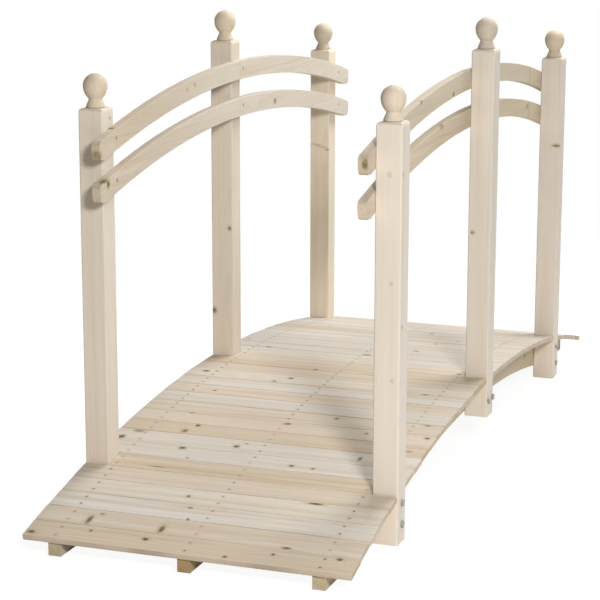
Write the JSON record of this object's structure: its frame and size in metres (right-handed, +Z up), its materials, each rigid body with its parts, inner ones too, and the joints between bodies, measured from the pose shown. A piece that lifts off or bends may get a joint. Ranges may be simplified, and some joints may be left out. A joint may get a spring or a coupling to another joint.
{
  "type": "arched garden footbridge",
  "caption": "Small arched wooden garden footbridge: slatted deck on sawn stringers, square posts with ball finials, and a pair of curved rails along each side.",
  "frame": {"origin": "middle of the footprint on the ground", "axes": "+X along the bridge from the front end to the rear end, +Y to the left side for someone crossing along +X, +Z up"},
  "size_m": [1.9942, 0.675, 0.9701],
  "materials": {
    "stringer_fir": "sawn, unfinished",
    "post_fir": "planed, unfinished",
    "finial_fir": "turned, unfinished",
    "rail_fir": "planed, unfinished",
    "deck_fir": "planed, unfinished, knotty",
    "zinc_fixings": "zinc plated, dull"
  },
  "bodies": {
    "root": {"left_stringer": "stringer_fir", "middle_stringer": "stringer_fir", "right_stringer": "stringer_fir", "front_left_post": "post_fir", "middle_left_post": "post_fir", "rear_left_post": "post_fir", "front_right_post": "post_fir", "middle_right_post": "post_fir", "rear_right_post": "post_fir", "front_left_finial": "finial_fir", "middle_left_finial": "finial_fir", "rear_left_finial": "finial_fir", "front_right_finial": "finial_fir", "middle_right_finial": "finial_fir", "rear_right_finial": "finial_fir", "left_upper_rail": "rail_fir", "left_lower_rail": "rail_fir", "right_upper_rail": "rail_fir", "right_lower_rail": "rail_fir", "front_ramp_slats": "deck_fir", "front_post_slat": "deck_fir", "front_bay_slats": "deck_fir", "middle_post_slat": "deck_fir", "rear_bay_slats": "deck_fir", "rear_post_slat": "deck_fir", "rear_ramp_slats": "deck_fir", "left_bolts": "zinc_fixings", "right_bolts": "zinc_fixings"}
  },
  "joints": []
}
